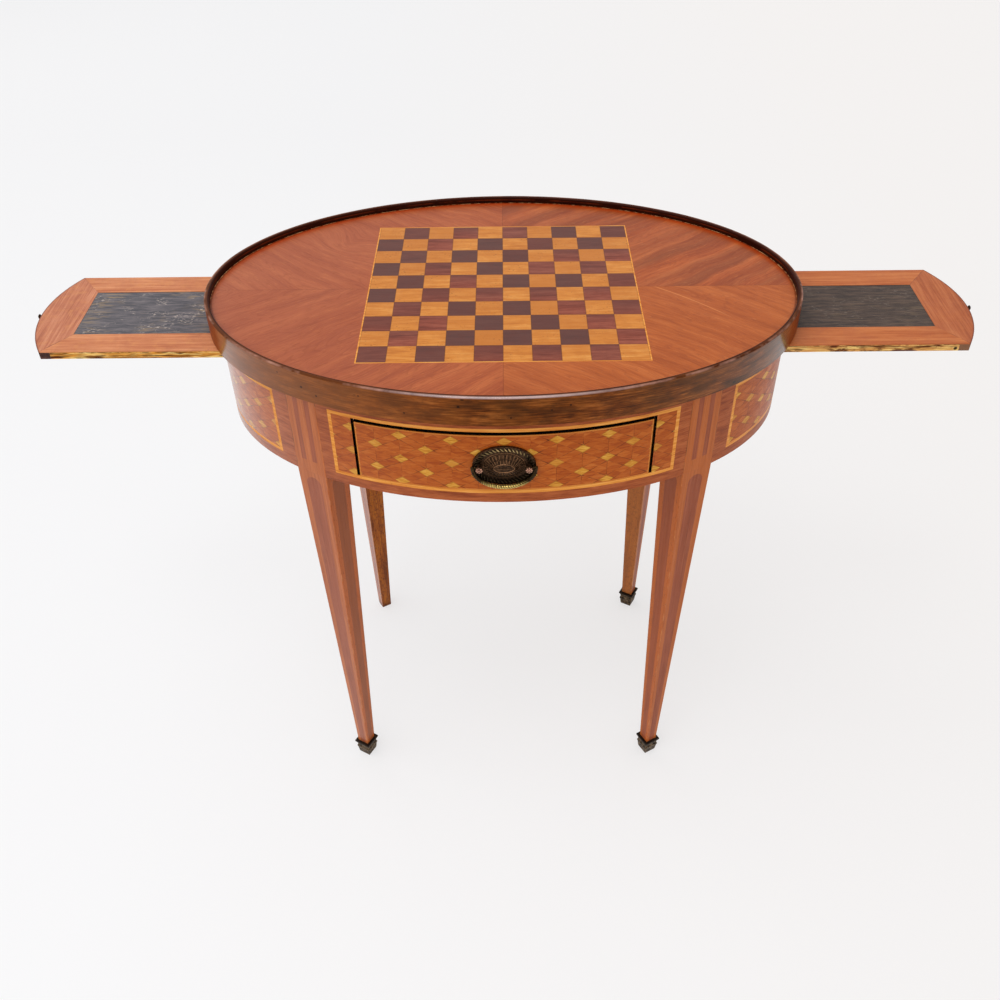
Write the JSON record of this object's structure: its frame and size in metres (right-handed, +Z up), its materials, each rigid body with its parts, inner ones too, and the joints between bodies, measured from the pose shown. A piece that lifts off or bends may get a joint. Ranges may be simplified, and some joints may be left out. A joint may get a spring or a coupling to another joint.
{
  "type": "oval games table",
  "caption": "Oval games table with a draughts board in its rimmed top, a bowed drawer and a leather-lined slide that pulls out at each end.",
  "frame": {"origin": "on the floor under the middle of the top", "axes": "+X to the right, along the slides; +Y to the back, away from the drawer; +Z up"},
  "size_m": [1.1742, 0.494, 0.741],
  "materials": {
    "band_wood": "dark polished fruitwood, worn",
    "top_veneer": "quartered red-brown veneer, waxed",
    "square_light": "light brown veneer, waxed",
    "square_dark": "dark red-brown veneer, waxed",
    "line_wood": "pale yellow stringing, waxed",
    "core_wood": "plain planed softwood, aged",
    "crossbanding": "red-brown crossbanding, waxed",
    "ground_veneer": "red-brown ground veneer, waxed",
    "lozenge_wood": "yellow veneer, waxed",
    "leg_wood": "stained and waxed hardwood",
    "flute_wood": "darker inlaid strip, waxed",
    "slide_wood": "raw yellow wood with dark stains",
    "slide_lipping": "dark hardwood lipping",
    "slide_veneer": "pale red-brown veneer, satin",
    "leather": "worn blue-black writing leather",
    "shoe_brass": "darkened cast brass",
    "pull_brass": "bronzed brass, rubbed on the edges",
    "steel": "dull iron fixings"
  },
  "bodies": {
    "table": {"apron_back": "core_wood", "apron_left": "core_wood", "apron_right": "core_wood", "board_line": "line_wood", "board_squares_dark": "square_dark", "board_squares_light": "square_light", "drawer_guide_left": "core_wood", "drawer_guide_right": "core_wood", "drawer_runner_left": "core_wood", "drawer_runner_right": "core_wood", "drawer_stops": "core_wood", "frieze_crossbanding": "crossbanding", "frieze_ground": "ground_veneer", "frieze_lines": "line_wood", "frieze_lozenges": "lozenge_wood", "front_lower_rail": "core_wood", "front_stile_left": "core_wood", "front_stile_right": "core_wood", "front_upper_rail": "core_wood", "gallery_band": "band_wood", "glue_blocks": "core_wood", "leg_back_left": "leg_wood", "leg_back_right": "leg_wood", "leg_flutes": "flute_wood", "leg_front_left": "leg_wood", "leg_front_right": "leg_wood", "sabot_back_right": "shoe_brass", "sabot_front_left": "shoe_brass", "sabot_front_right": "shoe_brass", "slide_bearer_back": "core_wood", "slide_bearer_front": "core_wood", "slide_centre_stop": "core_wood", "top_core": "core_wood", "top_screws": "steel", "top_veneer": "top_veneer"},
    "drawer": {"drawer_back": "core_wood", "drawer_bottom": "core_wood", "drawer_edge_line": "line_wood", "drawer_front": "core_wood", "drawer_ground": "ground_veneer", "drawer_lozenges": "lozenge_wood", "drawer_side_left": "core_wood", "drawer_side_right": "core_wood", "pull_backplate": "pull_brass", "pull_nuts": "steel", "pull_posts": "pull_brass"},
    "bail": {"pull_bail": "pull_brass"},
    "left_slide": {"slide_left_board": "slide_wood", "slide_left_knob": "pull_brass", "slide_left_leather": "leather", "slide_left_lipping": "slide_lipping", "slide_left_stop_peg": "slide_wood", "slide_left_veneer": "slide_veneer"},
    "right_slide": {"slide_right_board": "slide_wood", "slide_right_knob": "pull_brass", "slide_right_leather": "leather", "slide_right_lipping": "slide_lipping", "slide_right_stop_peg": "slide_wood", "slide_right_veneer": "slide_veneer"}
  },
  "joints": [
    {"name": "drawer_runs", "type": "slide", "parent": "table", "child": "drawer", "axis": [0, -1, 0], "range_m": [0, 0.22]},
    {"name": "bail_swings", "type": "hinge", "parent": "drawer", "child": "bail", "pos_m": [0, -0.2405, 0.641], "axis": [-1, 0, 0], "range_deg": [0, 110]},
    {"name": "left_slide_runs", "type": "slide", "parent": "table", "child": "left_slide", "axis": [-1, 0, 0], "range_m": [-0.2159, 0.02]},
    {"name": "right_slide_runs", "type": "slide", "parent": "table", "child": "right_slide", "axis": [1, 0, 0], "range_m": [-0.2159, 0.02]}
  ]
}
